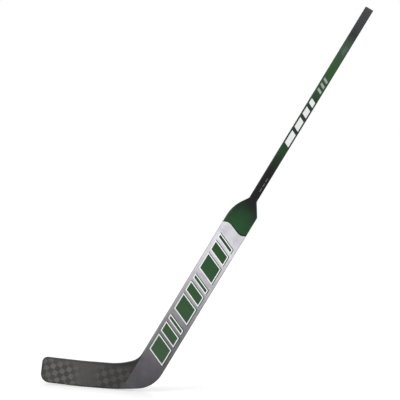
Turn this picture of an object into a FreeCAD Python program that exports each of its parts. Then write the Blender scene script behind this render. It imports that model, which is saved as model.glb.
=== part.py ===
import FreeCAD
import Part
import math
import os

from FreeCAD import Vector

# Ice hockey goalie stick, standing at its lie on the ice.
# Millimetres, +Z up, the front face looks to -Y and the toe points to -X.
# The origin is the middle of the flat of the sole.
# The board frame has u across the paddle, to the heel side, and v up its axis from the ice.

# Board: paddle and shaft, which share one thickness
lie_angle = 63.5
foot_offset = 144.0
paddle_width = 89.0
board_thickness = 20.0
edge_round = 4.2
shaft_width = 28.0
shaft_shift = 2.5
neck_station = 719.0
shaft_exposed = 717.0
shoulder_slope = 33.0
shoulder_round_toe_side = 118.0
shoulder_round_heel_side = 8.0
neck_round = 9.0

# Blade and heel outline
blade_height = 81.7
toe_reach = 163.0
toe_rake = 3.2
toe_round_top = 17.0
toe_round_sole = 29.0
top_bend = 30.0
top_rise = 2.5
top_round = 1000.0
sole_flat = 46.0
sole_rise_toe = 2.4
sole_round_toe = 500.0
sole_rise_heel = 7.2
sole_round_heel = 1000.0
heel_round = 95.0
crotch_height = 102.0
crotch_slope = 20.0
crotch_round_paddle = 52.0
crotch_round_blade = 215.0

# Blade section: each face leaves the joint flat, bends forward and runs straight to the toe
joint_setback = 3.0
heel_flat = 60.0
bend_length = 80.0
blade_curve = 9.0
toe_thickness = 10.0
rim_share = 0.42

# Wave-shaped seam between the shoulder and the paddle
wave_station = 609.3
wave_height = 9.5
wave_reach = 27.0
wave_round = 26.0

# Laminate, shaft tube and butt plug
skin = 1.0
tube_wall = 1.7
collar = 10.0
tenon_length = 150.0
tenon_round = 2.2
bore_round = 1.0
tube_shoulder = 4.0
plug_flange = 3.0
plug_chamfer = 1.0
plug_stem = 38.0
plug_wall = 1.8
plug_slack = 0.6
plug_rib_width = 2.0
plug_rib_spacing = 10.0

# Core: spine, strips, heel block and rib
spigot_length = 60.0
spigot_fit = 0.1
filler_tip = 14.0
edge_strip = 5.0
heel_block_station = 130.0
mortise_depth = 40.0
tongue_length = 70.0
tongue_height = 30.0
tongue_level = 41.0
rib_thickness = 4.0

# Tolerances: points that meet, and the lean of normals that tells faces from sides
touching = 1e-3
face_lean = 0.7
side_lean = 0.3

# Derived places
lie = math.radians(lie_angle)
axis = Vector(math.cos(lie), 0, math.sin(lie))
toe_edge = -paddle_width / 2
heel_edge = paddle_width / 2
joint_edge = toe_edge - joint_setback
shaft_toe_edge = shaft_shift - shaft_width / 2
shaft_heel_edge = shaft_shift + shaft_width / 2
seam_station = neck_station + collar
butt_station = neck_station + shaft_exposed
tube_end = butt_station - plug_flange
tenon_end = seam_station - tenon_length
rim = min(edge_round, rim_share * toe_thickness)
tenon_width = shaft_width - 2 * rim
tenon_thickness = board_thickness - 2 * skin
spine_toe_edge = shaft_shift - tenon_width / 2
spine_heel_edge = shaft_shift + tenon_width / 2
mortise_station = heel_block_station - mortise_depth
depth_reach = board_thickness + blade_curve
far = 2 * (butt_station + toe_reach)


def board(u, v, y=0.0):
    """Point of the board frame, y being its place through the thickness."""
    x = foot_offset + v * math.cos(lie) + u * math.sin(lie)
    z = v * math.sin(lie) - u * math.cos(lie)
    return Vector(x, y, z)


def across(point):
    """The u of a point."""
    return (point.x - foot_offset) * math.sin(lie) - point.z * math.cos(lie)


def station(point):
    """The v of a point."""
    return (point.x - foot_offset) * math.cos(lie) + point.z * math.sin(lie)


def tan(degrees):
    return math.tan(math.radians(degrees))


def turned(direction):
    """Quarter turn to the left, seen from the front."""
    return Vector(-direction.z, 0, direction.x)


def turn_angle(before, after):
    return math.atan2(before.z * -after.x + before.x * after.z, before.dot(after))


def headings(points):
    """Unit direction from each point to the next, round the outline."""
    following = points[1:] + points[:1]
    return [(b - a).normalize() for a, b in zip(points, following)]


def limit_rounds(points, rounds):
    """Radii that leave each straight side room for the two arcs at its ends."""
    ahead = headings(points)
    reach = []
    for i, radius in enumerate(rounds):
        reach.append(radius * math.tan(abs(turn_angle(ahead[i - 1], ahead[i])) / 2))
    room = []
    for i, point in enumerate(points):
        after = (i + 1) % len(points)
        length = (points[after] - point).Length
        room.append(min(1.0, length / max(reach[i] + reach[after], length)))
    return [radius * min(room[i - 1], room[i]) for i, radius in enumerate(rounds)]


def inset_outline(points, rounds, inset):
    """The outline moved inwards: hollow corners grow rounder, full ones sharper."""
    ahead = headings(points)
    new_points = []
    new_rounds = []
    for i, point in enumerate(points):
        before = turned(ahead[i - 1])
        after = turned(ahead[i])
        new_points.append(point + (before + after) * (inset / (1 + before.dot(after))))
        hollow = turn_angle(ahead[i - 1], ahead[i]) < 0
        change = inset if hollow else -inset
        new_rounds.append(max(rounds[i] + change, 0.0) if rounds[i] else 0.0)
    return new_points, new_rounds


def rounded_wire(points, rounds):
    """Straight sides joined by tangent arcs."""
    ahead = headings(points)
    spans = []
    for i, (point, radius) in enumerate(zip(points, rounds)):
        if not radius:
            spans.append((point, point, point))
            continue
        turn = turn_angle(ahead[i - 1], ahead[i])
        reach = radius * math.tan(abs(turn) / 2)
        inward = (ahead[i] - ahead[i - 1]).normalize()
        middle = point + inward * (radius / math.cos(turn / 2) - radius)
        spans.append((point - ahead[i - 1] * reach, middle, point + ahead[i] * reach))
    edges = []
    for i, (start, middle, end) in enumerate(spans):
        if (end - start).Length > touching:
            edges.append(Part.Arc(start, middle, end).toShape())
        following = spans[(i + 1) % len(spans)][0]
        if (following - end).Length > touching:
            edges.append(Part.makeLine(end, following))
    return Part.Wire(edges)


def through(wire):
    """Extrude an outline right through the thickness, with room to spare."""
    face = Part.Face(wire)
    face.translate(Vector(0, -depth_reach, 0))
    return face.extrude(Vector(0, 2 * depth_reach, 0))


def block(u_low, u_high, v_low, v_high):
    """Straight block of the board, through the whole thickness."""
    corners = [board(u_low, v_low), board(u_high, v_low), board(u_high, v_high), board(u_low, v_high)]
    return through(Part.makePolygon(corners + corners[:1]))


def level_block(x_low, x_high, z_low, z_high):
    """Block that lies level with the ice, through the whole thickness."""
    corners = [(x_low, z_low), (x_high, z_low), (x_high, z_high), (x_low, z_high)]
    points = [Vector(x, 0, z) for x, z in corners]
    return through(Part.makePolygon(points + points[:1]))


def bar(width, thickness, corner, v_low, v_high):
    """Rounded bar on the shaft's centre line."""
    half = width / 2
    corners = [board(shaft_shift - half, v_low), board(shaft_shift + half, v_low)]
    corners += [board(shaft_shift + half, v_high), board(shaft_shift - half, v_high)]
    face = Part.Face(Part.makePolygon(corners + corners[:1]))
    face.translate(Vector(0, -thickness / 2, 0))
    solid = face.extrude(Vector(0, thickness, 0))
    long_edges = []
    for edge in solid.Edges:
        ends = [station(vertex.Point) for vertex in edge.Vertexes]
        if abs(ends[0] - ends[1]) > (v_high - v_low) / 2:
            long_edges.append(edge)
    return solid.makeFillet(corner, long_edges)


def outline_corners(top_station):
    """Corners of the stick's face outline up to a station of the shaft, with their radii."""
    shoulder_drop_toe = (shaft_toe_edge - toe_edge) / tan(shoulder_slope)
    shoulder_drop_heel = (heel_edge - shaft_heel_edge) / tan(shoulder_slope)
    crotch_station = (crotch_height + toe_edge * math.cos(lie)) / math.sin(lie)
    crotch = board(toe_edge, crotch_station)
    crotch_run = (crotch_height - blade_height) / tan(crotch_slope)
    toe_top_x = toe_rake - toe_reach
    toe_top_z = blade_height + (-top_bend - toe_top_x) * tan(top_rise)
    sole_toe_x = -sole_flat / 2 - sole_round_toe * tan(sole_rise_toe / 2)
    sole_heel_x = sole_flat / 2 + sole_round_heel * tan(sole_rise_heel / 2)
    toe_foot_z = (toe_reach + sole_toe_x) * tan(sole_rise_toe)
    heel_foot = board(heel_edge, 0.0)
    rise = tan(sole_rise_heel)
    lean = 1 / math.tan(lie)
    heel_x = (heel_foot.x - lean * (heel_foot.z + rise * sole_heel_x)) / (1 - lean * rise)
    table = [
        (board(shaft_toe_edge, top_station), 0.0),
        (board(shaft_toe_edge, neck_station), neck_round),
        (board(toe_edge, neck_station - shoulder_drop_toe), shoulder_round_toe_side),
        (crotch, crotch_round_paddle),
        (Vector(crotch.x - crotch_run, 0, blade_height), crotch_round_blade),
        (Vector(-top_bend, 0, blade_height), top_round),
        (Vector(toe_top_x, 0, toe_top_z), toe_round_top),
        (Vector(-toe_reach, 0, toe_foot_z), toe_round_sole),
        (Vector(sole_toe_x, 0, 0), sole_round_toe),
        (Vector(sole_heel_x, 0, 0), sole_round_heel),
        (Vector(heel_x, 0, (heel_x - sole_heel_x) * rise), heel_round),
        (board(heel_edge, neck_station - shoulder_drop_heel), shoulder_round_heel_side),
        (board(shaft_heel_edge, neck_station), neck_round),
        (board(shaft_heel_edge, top_station), 0.0),
    ]
    points = [point for point, radius in table]
    rounds = [radius for point, radius in table]
    return points, limit_rounds(points, rounds)


def face_in_plan(y_joint, y_toe):
    """A face in plan: flat on paddle and heel, one bend, then straight past the toe."""
    level = -far / 2
    toe_u = toe_corner()
    corner_u = joint_edge - heel_flat - bend_length / 2
    reach = bend_length / 2
    corner = board(corner_u, level, y_joint)
    toe = board(toe_u, level, y_toe)
    ahead = (toe - corner).normalize()
    behind = (board(joint_edge, level, y_joint) - corner).normalize()
    half_turn = (math.pi - behind.getAngle(ahead)) / 2
    radius = reach / math.tan(half_turn)
    inward = (ahead + behind).normalize()
    start = corner + behind * reach
    middle = corner + inward * (radius / math.cos(half_turn) - radius)
    end = corner + ahead * reach
    flat = board(far, level, y_joint)
    beyond = toe + ahead * board_thickness
    edges = [Part.makeLine(flat, start), Part.Arc(start, middle, end).toShape(), Part.makeLine(end, beyond)]
    return edges, flat, beyond


def face_depths(inset):
    """Where the front, the middle and the back lie at the joint and at the toe."""
    half = board_thickness / 2
    front_toe = -half - blade_curve
    back_toe = front_toe + toe_thickness
    front = (inset - half, front_toe + inset)
    middle = (0.0, (front_toe + back_toe) / 2)
    back = (half - inset, back_toe - inset)
    return front, middle, back


def between(low, high):
    """Everything between two faces, extruded up the board's axis."""
    low_edges, low_flat, low_beyond = face_in_plan(*low)
    high_edges, high_flat, high_beyond = face_in_plan(*high)
    ends = [Part.makeLine(low_beyond, high_beyond), Part.makeLine(high_flat, low_flat)]
    wire = Part.Wire(Part.sortEdges(low_edges + high_edges + ends)[0])
    return Part.Face(wire).extrude(axis * (2 * far))


def rim_edges(solid):
    """Edges between the large faces and the sides, apart from the cut at the collar."""
    edges = []
    for edge in solid.Edges:
        lean = []
        for face in solid.ancestorsOfType(edge, Part.Face):
            u_low, u_high, v_low, v_high = face.ParameterRange
            lean.append(abs(face.normalAt((u_low + u_high) / 2, (v_low + v_high) / 2).y))
        middle = edge.valueAt((edge.FirstParameter + edge.LastParameter) / 2)
        at_collar = abs(station(middle) - top_of(solid)) < touching
        if max(lean) > face_lean and min(lean) < side_lean and not at_collar:
            edges.append(edge)
    return edges


def top_of(solid):
    return max(station(vertex.Point) for vertex in solid.Vertexes)


def toe_corner():
    """The u of the toe's upper corner, where the blade ends."""
    points, rounds = outline_corners(seam_station)
    return min(across(point) for point in points)


def outline_prism(inset):
    """The face outline, moved inwards all round but open at the collar, through the thickness."""
    points, rounds = outline_corners(seam_station + 2 * inset)
    points, rounds = inset_outline(points, rounds, inset)
    return through(rounded_wire(points, rounds))


def outer_form():
    """Shoulder, paddle, heel and blade as one form with a rolled rim."""
    front, middle, back = face_depths(0.0)
    solid = outline_prism(0.0).common(between(front, back)).Solids[0]
    return solid.makeFillet(rim, rim_edges(solid)).Solids[0]


def core_form():
    """The hollow inside the laminate, which has thin faces and a solid rim."""
    front, middle, back = face_depths(skin)
    return outline_prism(rim).common(between(front, back)).Solids[0]


def front_half():
    """Everything in front of the middle between the two faces."""
    front, middle, back = face_depths(0.0)
    return between((middle[0] - far, middle[1] - far), middle)


def above_wave():
    """Everything up the board from the wave-shaped seam."""
    points = [
        board(-far, wave_station),
        board(toe_edge, wave_station),
        board(-wave_reach, wave_station + wave_height),
        board(wave_reach, wave_station - wave_height),
        board(heel_edge, wave_station),
        board(far, wave_station),
        board(far, far),
        board(-far, far),
    ]
    rounds = [0.0, 0.0, wave_round, wave_round, 0.0, 0.0, 0.0, 0.0]
    return through(rounded_wire(points, limit_rounds(points, rounds)))


def shells(outer, core):
    """Laminate skins: a front and a back shell for shoulder, paddle and blade."""
    front_zone = front_half()
    upper_zone = above_wave()
    zones = {
        "shoulder": upper_zone,
        "paddle": block(joint_edge, far, -far, far).cut(upper_zone),
        "blade": block(-far, joint_edge, -far, far).cut(upper_zone),
    }
    laminate = outer.cut(core)
    halves = {"front": laminate.common(front_zone), "back": laminate.cut(front_zone)}
    pieces = {}
    for zone_name, zone in zones.items():
        for half_name, half in halves.items():
            pieces[f"{zone_name}_{half_name}_shell"] = half.common(zone)
    return pieces


def shaft_tube():
    """Hollow shaft whose stepped tenon goes down between the shoulder shells."""
    grip = bar(shaft_width, board_thickness, rim, seam_station, tube_end)
    tenon = bar(tenon_width, tenon_thickness, tenon_round, tenon_end, seam_station)
    step_station = seam_station + tube_shoulder
    return grip.fuse(tenon).cut([shaft_bore(step_station, tube_end), tenon_bore(tenon_end, step_station)])


def shaft_bore(v_low, v_high, slack=0.0):
    inside = tube_wall + slack
    return bar(shaft_width - 2 * inside, board_thickness - 2 * inside, bore_round, v_low, v_high)


def tenon_bore(v_low, v_high, slack=0.0):
    inside = tube_wall + slack
    return bar(tenon_width - 2 * inside, tenon_thickness - 2 * inside, bore_round, v_low, v_high)


def butt_plug():
    """Moulded end plug: a flange on the tube's end, and a hollow stem on crush ribs."""
    flange = bar(shaft_width, board_thickness, rim, tube_end, butt_station)
    top_edges = []
    for edge in flange.Edges:
        if min(station(vertex.Point) for vertex in edge.Vertexes) > butt_station - plug_flange / 2:
            top_edges.append(edge)
    flange = flange.makeChamfer(plug_chamfer, top_edges)
    stem_end = tube_end - plug_stem
    stem = shaft_bore(stem_end, tube_end, plug_slack)
    half_width = shaft_width / 2 - tube_wall
    half_depth = board_thickness / 2 - tube_wall
    ribs = []
    for side in (-1, 1):
        middle = shaft_shift + side * plug_rib_spacing / 2
        rib = block(middle - plug_rib_width / 2, middle + plug_rib_width / 2, stem_end, tube_end)
        ribs.append(rib)
    wide_ribs = ribs[0].fuse(ribs[1]).common(depth_slice(half_depth))
    edge_rib = block(shaft_shift - half_width, shaft_shift + half_width, stem_end, tube_end)
    edge_rib = edge_rib.common(depth_slice(plug_rib_width / 2))
    hollow = shaft_bore(stem_end, tube_end, plug_slack + plug_wall)
    return flange.fuse([stem.fuse([wide_ribs, edge_rib]).cut(hollow)]).removeSplitter()


def depth_slice(half):
    """Everything within a distance of the board's middle plane."""
    corners = [board(u, v, -half) for u, v in ((-far, -far), (far, -far), (far, far), (-far, far))]
    return Part.Face(Part.makePolygon(corners + corners[:1])).extrude(Vector(0, 2 * half, 0))


def paddle_spine(core):
    """Spine from the heel block's mortise up to the tenon, which it enters as a spigot."""
    body = core.common(block(spine_toe_edge, spine_heel_edge, mortise_station, tenon_end))
    spigot = tenon_bore(tenon_end, tenon_end + spigot_length, spigot_fit)
    return body.fuse(spigot).removeSplitter()


def paddle_sides(core):
    """Shoulder fillers beside the tenon; foam cores and edge strips beside the spine."""
    strip_toe = toe_edge + rim + edge_strip
    strip_heel = heel_edge - rim - edge_strip
    filler_top = neck_station - filler_tip
    low = heel_block_station
    return {
        "shoulder_filler_toe_side": core.common(block(-far, spine_toe_edge, tenon_end, filler_top)),
        "shoulder_filler_heel_side": core.common(block(spine_heel_edge, far, tenon_end, filler_top)),
        "paddle_core_toe_side": core.common(block(strip_toe, spine_toe_edge, low, tenon_end)),
        "paddle_core_heel_side": core.common(block(spine_heel_edge, strip_heel, low, tenon_end)),
        "paddle_edge_strip_toe_side": core.common(block(-far, strip_toe, low, tenon_end)),
        "paddle_edge_strip_heel_side": core.common(block(strip_heel, far, low, tenon_end)),
    }


def tongue_zone():
    """Where the heel block's tongue lies in the blade, level with the ice."""
    root = board(joint_edge, 0.0).x
    low = tongue_level - tongue_height / 2
    return level_block(root - tongue_length, root + paddle_width, low, low + tongue_height)


def heel_block(core):
    """Block in the heel, with a mortise for the spine and a tongue into the blade."""
    heel = block(joint_edge, far, -far, heel_block_station)
    mortise = block(spine_toe_edge, spine_heel_edge, mortise_station, heel_block_station)
    return core.common(heel.fuse(tongue_zone())).cut(mortise).removeSplitter()


def blade_insides(core):
    """Edge strip round the blade, a rib from the tongue to the toe, and a foam core on each side."""
    inside = core.common(block(-far, joint_edge, -far, heel_block_station))
    filling = inside.common(outline_prism(rim + edge_strip))
    rib_low = tongue_level - rib_thickness / 2
    rib_zone = level_block(-far, board(joint_edge, 0.0).x, rib_low, rib_low + rib_thickness)
    foam = filling.cut([rib_zone, tongue_zone()])
    low_foam, high_foam = sorted(foam.Solids, key=lambda solid: solid.CenterOfMass.z)
    return {
        "blade_edge_strip": inside.cut(outline_prism(rim + edge_strip)),
        "blade_rib": filling.common(rib_zone).cut(tongue_zone()),
        "blade_core_bottom": low_foam,
        "blade_core_top": high_foam,
    }


def build():
    core = core_form()
    pieces = shells(outer_form(), core)
    pieces["shaft_tube"] = shaft_tube()
    pieces["butt_plug"] = butt_plug()
    pieces["paddle_spine"] = paddle_spine(core)
    pieces["heel_block"] = heel_block(core)
    pieces.update(paddle_sides(core))
    pieces.update(blade_insides(core))
    os.makedirs("parts", exist_ok=True)
    for name, shape in pieces.items():
        solids = shape.Solids
        print(name, "solids", len(solids), "volume", round(shape.Volume), "valid", shape.isValid())
        solids[0].exportStep(f"parts/{name}.step")


build()
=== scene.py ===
import bmesh
import bpy
import math
from mathutils import Matrix, Vector


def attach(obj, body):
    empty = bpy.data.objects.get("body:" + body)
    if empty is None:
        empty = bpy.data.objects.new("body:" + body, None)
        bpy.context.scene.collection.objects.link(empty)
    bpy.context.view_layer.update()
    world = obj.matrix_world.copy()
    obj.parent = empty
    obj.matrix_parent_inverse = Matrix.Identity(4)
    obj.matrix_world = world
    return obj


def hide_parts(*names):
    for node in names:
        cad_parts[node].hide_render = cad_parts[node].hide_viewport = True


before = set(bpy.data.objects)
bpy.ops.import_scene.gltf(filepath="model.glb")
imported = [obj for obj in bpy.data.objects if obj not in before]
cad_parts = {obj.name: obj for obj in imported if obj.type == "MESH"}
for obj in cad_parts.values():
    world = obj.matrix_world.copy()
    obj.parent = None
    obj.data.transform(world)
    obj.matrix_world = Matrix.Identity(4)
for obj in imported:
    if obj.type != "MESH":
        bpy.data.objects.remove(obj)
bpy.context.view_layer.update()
print("frame loaded,", len(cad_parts), "nodes")

mm = 0.001
mergeReach = 1e-6  # points nearer than this are one, in metres
cutReach = 1e-7
sharpAngle = math.radians(35)
vertKind, edgeKind, faceKind = bmesh.types.BMVert, bmesh.types.BMEdge, bmesh.types.BMFace

# the stick stands on the ice at its lie; u runs across the paddle, v up its axis
stick = {
    "lie": math.radians(63.5),
    "foot": 144.0,
    "halfWidth": 44.5,
    "halfDepth": 10.0,
    "rim": 4.2,
    "skin": 1.0,
    "shaftLeft": -11.5,
    "shaftRight": 16.5,
    "neck": 719.0,
    "collar": 729.0,
    "tubeEnd": 1433.0,
    "butt": 1436.0,
}
lieCos, lieSin = math.cos(stick["lie"]), math.sin(stick["lie"])
acrossAxis, alongAxis = Vector((lieSin, 0, -lieCos)), Vector((lieCos, 0, lieSin))


def onBoard(u, v):
    return stick["foot"] + v * lieCos + u * lieSin, v * lieSin - u * lieCos


def boardPoint(u, v, y):
    x, z = onBoard(u, v)
    return Vector((x, y, z)) * mm


def acrossOf(point):
    return (point.x / mm - stick["foot"]) * lieSin - point.z / mm * lieCos


def alongOf(point):
    return (point.x / mm - stick["foot"]) * lieCos + point.z / mm * lieSin


def slopeOf(degrees):
    return math.tan(math.radians(degrees))


# short hands for nodes: a socket is linked, any other value is set
def addNode(tree, kind, inputs=None, **settings):
    node = tree.nodes.new(kind)
    for key, value in settings.items():
        setattr(node, key, value)
    for key, value in (inputs or {}).items():
        if isinstance(value, bpy.types.NodeSocket):
            tree.links.new(value, node.inputs[key])
        else:
            node.inputs[key].default_value = value
    return node.outputs


def treeOf(values):
    return next(value.id_data for value in values if isinstance(value, bpy.types.NodeSocket))


def calc(operation, *values, clamp=False):
    inputs = dict(enumerate(values))
    return addNode(treeOf(values), "ShaderNodeMath", inputs, operation=operation, use_clamp=clamp)[0]


def times(first, second):
    return calc("MULTIPLY", first, second)


def timesPlus(value, factor, added, clamp=False):
    return calc("MULTIPLY_ADD", value, factor, added, clamp=clamp)


def spread(value, low, high, newLow=0.0, newHigh=1.0, smooth=True):
    kind = "SMOOTHSTEP" if smooth else "LINEAR"
    inputs = {0: value, 1: low, 2: high, 3: newLow, 4: newHigh}
    return addNode(value.id_data, "ShaderNodeMapRange", inputs, interpolation_type=kind)[0]


# the looks below give noise in this order, from its scale on
def noise(place, scale, detail, roughness=0.5, distortion=0.0):
    inputs = {"Vector": place, "Scale": scale, "Detail": detail}
    inputs.update({"Roughness": roughness, "Distortion": distortion})
    return addNode(place.id_data, "ShaderNodeTexNoise", inputs)[0]


def mixColour(factor, first, second, blend="MIX"):
    tree, inputs = treeOf((factor, first, second)), {0: factor, 6: first, 7: second}
    return addNode(tree, "ShaderNodeMix", inputs, data_type="RGBA", blend_type=blend)[2]


def tinted(colour, tone):
    return mixColour(1.0, colour, tone, "MULTIPLY")


def paint(red, green, blue):
    def linear(part):
        part /= 255
        return part / 12.92 if part <= 0.04045 else ((part + 0.055) / 1.055) ** 2.4
    return linear(red), linear(green), linear(blue), 1.0


def fadeRamp(value, stops):
    low, high = stops[0][0], stops[-1][0]
    place = spread(value, low, high, smooth=False)
    ramp = addNode(value.id_data, "ShaderNodeValToRGB", {0: place})[0]
    elements = ramp.node.color_ramp.elements
    elements[0].color, elements[1].color = paint(*stops[0][1]), paint(*stops[-1][1])
    for station, colour in stops[1:-1]:
        elements.new((station - low) / (high - low)).color = paint(*colour)
    return ramp


def newGroup(name, inputs, outputs):
    group = bpy.data.node_groups.new(name, "ShaderNodeTree")
    for label, value in inputs.items():
        socket = group.interface.new_socket(label, in_out="INPUT", socket_type="NodeSocketFloat")
        socket.default_value = value
    for label, kind in outputs.items():
        group.interface.new_socket(label, in_out="OUTPUT", socket_type="NodeSocket" + kind)
    return group


def useGroup(tree, group, **inputs):
    return addNode(tree, "ShaderNodeGroup", inputs, node_tree=group)


def newMaterial(name, **sockets):
    material = bpy.data.materials.new(name)
    material.use_nodes = True
    shader = material.node_tree.nodes["Principled BSDF"]
    for key, value in sockets.items():
        shader.inputs[key.replace("_", " ")].default_value = value
    return material, material.node_tree


def finishShader(material, colour, roughness, height, bump):
    # bump is the relief's depth in metres and its strength
    tree = material.node_tree
    inputs = {"Height": height, "Distance": bump[0], "Strength": bump[1]}
    normal = addNode(tree, "ShaderNodeBump", inputs)[0]
    shader = tree.nodes["Principled BSDF"]
    for label, socket in (("Base Color", colour), ("Roughness", roughness), ("Normal", normal)):
        tree.links.new(socket, shader.inputs[label])
    return material


# u, v and depth of a point of the stick, its level and its height over the ice, in millimetres
def stickAxes():
    values = ("Across", "Along", "Depth", "Level", "Height")
    tree = newGroup("stickAxes", {}, {**dict.fromkeys(values, "Float"), "Board": "Vector"})
    foot = (-stick["foot"] * mm, 0, 0)
    point = addNode(tree, "ShaderNodeTexCoord")["Object"]
    point = addNode(tree, "ShaderNodeVectorMath", {0: point, 1: foot}, operation="ADD")[0]
    point = addNode(tree, "ShaderNodeVectorMath", {0: point, "Scale": 1 / mm}, operation="SCALE")[0]
    along, across = [
        addNode(tree, "ShaderNodeVectorMath", {0: point, 1: axis}, operation="DOT_PRODUCT")["Value"]
        for axis in (alongAxis, acrossAxis)]
    level, depth, height = addNode(tree, "ShaderNodeSeparateXYZ", {0: point})
    addNode(tree, "NodeGroupOutput", {
        "Across": across,
        "Along": along,
        "Depth": depth,
        "Level": calc("ADD", level, stick["foot"]),
        "Height": height,
        "Board": addNode(tree, "ShaderNodeCombineXYZ", {0: across, 1: along, 2: depth})[0],
    })
    return tree


axesGroup = stickAxes()

# fine lines across the board, as a brushed coat leaves them
streak = {"drift": 0.02, "fine": (1.0, 2.0), "long": (0.12, 2.0)}


def crossStreaks():
    tree = newGroup("crossStreaks", {"Amount": 0.1, "Pitch": 1.5}, {"Tone": "Float"})
    given, axes = addNode(tree, "NodeGroupInput"), useGroup(tree, axesGroup)
    turn = calc("DIVIDE", axes["Along"], given["Pitch"])
    drift = times(axes["Across"], streak["drift"])
    place = addNode(tree, "ShaderNodeCombineXYZ", {0: drift, 1: turn, 2: axes["Depth"]})[0]
    lines = [noise(place, *streak[size]) for size in ("fine", "long")]
    both = calc("SUBTRACT", calc("ADD", *lines), 1.0)
    addNode(tree, "NodeGroupOutput", {"Tone": timesPlus(both, given["Amount"], 1.0)})
    return tree


streakGroup = crossStreaks()

# lacquer: fine flake, slight orange peel, hairline scuffs, rubbed edges, and darker sides, partly dark side
# paint and partly painted shade on the rolled rim
lacquer = {
    "peel": (0.55, 2.0),
    "cloud": (0.03, 4.0),
    "cloudFrom": (0.25, 0.75),
    "cloudTone": (0.9, 1.1),
    "cloudRough": 0.16,
    "scuff": (1.0, 3.0),
    "scuffTurn": (0, 0, 0.7),
    "scuffStretch": (0.9, 0.045, 0.3),
    "scuffFrom": (0.66, 0.74),
    "scuffRough": 0.12,
    "scuffDepth": -0.4,
    "rub": (0.16, 5.0, 0.7),
    "rubEdge": (0.55, 1.0),
    "rubFrom": (0.6, 0.72),
    "rubRough": 0.15,
    "rimShadeFrom": (0.1, 0.6),
    "flakeScale": 2.2,
}


def lacquerSurface():
    values = ("Roughness", "Height", "Cloud", "Rub", "Edge", "Roll")
    inputs = {"Roughness": 0.35, "Side": 0.45, "Flake": 0.1}
    tree = newGroup("lacquerSurface", inputs, dict.fromkeys(values, "Float"))
    given, board = addNode(tree, "NodeGroupInput"), useGroup(tree, axesGroup)["Board"]
    edge, roll = [
        addNode(tree, "ShaderNodeAttribute", attribute_name=name)["Fac"] for name in ("edge", "roll")]
    cloud = noise(board, *lacquer["cloud"])
    warp = {"Vector": board, "Rotation": lacquer["scuffTurn"], "Scale": lacquer["scuffStretch"]}
    scuffPlace = addNode(tree, "ShaderNodeMapping", warp)[0]
    scuffs = spread(noise(scuffPlace, *lacquer["scuff"]), *lacquer["scuffFrom"])
    rubPatches = spread(noise(board, *lacquer["rub"]), *lacquer["rubFrom"])
    rub = times(spread(edge, *lacquer["rubEdge"]), rubPatches)
    uneven = calc("SUBTRACT", cloud, 0.5)
    roughness = timesPlus(uneven, lacquer["cloudRough"], given["Roughness"])
    roughness = timesPlus(scuffs, lacquer["scuffRough"], roughness)
    roughness = timesPlus(rub, lacquer["rubRough"], roughness, clamp=True)
    # painted shade: the rolled rim and sides are darkened, partly as dark side paint and partly as shade on
    # the rim
    roll = spread(roll, *lacquer["rimShadeFrom"])
    sideAndRimShade = spread(roll, 0.0, 1.0, 1.0, given["Side"], smooth=False)
    flakes = addNode(tree, "ShaderNodeTexVoronoi", {"Vector": board, "Scale": lacquer["flakeScale"]})["Color"]
    flakes = calc("SUBTRACT", addNode(tree, "ShaderNodeSeparateColor", {0: flakes})[0], 0.5)
    tone = times(spread(cloud, *lacquer["cloudFrom"], *lacquer["cloudTone"]), sideAndRimShade)
    tone = times(tone, timesPlus(flakes, given["Flake"], 1.0))
    peel = noise(board, *lacquer["peel"])
    addNode(tree, "NodeGroupOutput", {
        "Roughness": roughness,
        "Height": timesPlus(scuffs, lacquer["scuffDepth"], peel),
        "Cloud": tone,
        "Rub": rub,
        "Edge": edge,
        "Roll": roll,
    })
    return tree


lacquerGroup = lacquerSurface()

# carbon cloth: squares of crossed tows, washed out by a painted highlight in the middle of the blade, and
# darker to the heel
weave = {
    "squareToe": 16.25,
    "startToe": (3.0, 5.4),
    "squareHeel": 17.5,
    "startHeel": (0.0, 4.5),
    "stretch": (-45.0, 5.0),
    "soft": (-0.16, 0.26),
    "tow": 0.9,
    "wander": 2.0,
    "wanderNoise": (0.05, 1.0),
    "varied": 0.3,
    "fibre": 0.08,
    "dark": (64, 64, 62),
    "light": (102, 101, 99),
    "highlightWash": (82, 81, 79),
    "highlightCentre": -12.0,
    "highlightToeSide": 60.0,
    "highlightHeelSide": 38.0,
    "highlightFade": (0.2, 1.15, 0.9, 0.0),
    "washPatch": (0.45, 0.75, 0.0, 0.5),
    "washHeel": (-10, 40, 0.0, 0.26),
    "washTop": (58, 78, 0.0, 0.5),
    "patchNoise": (0.028, 2.0),
    "heelTone": (-60, 90, 1.0, 0.56),
    "toeTone": (-164, -138, 0.75, 1.0),
    "crotchLevel": (0, 105),
    "crotchHeight": (62, 88),
    "crotchTone": 0.45,
}


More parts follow.
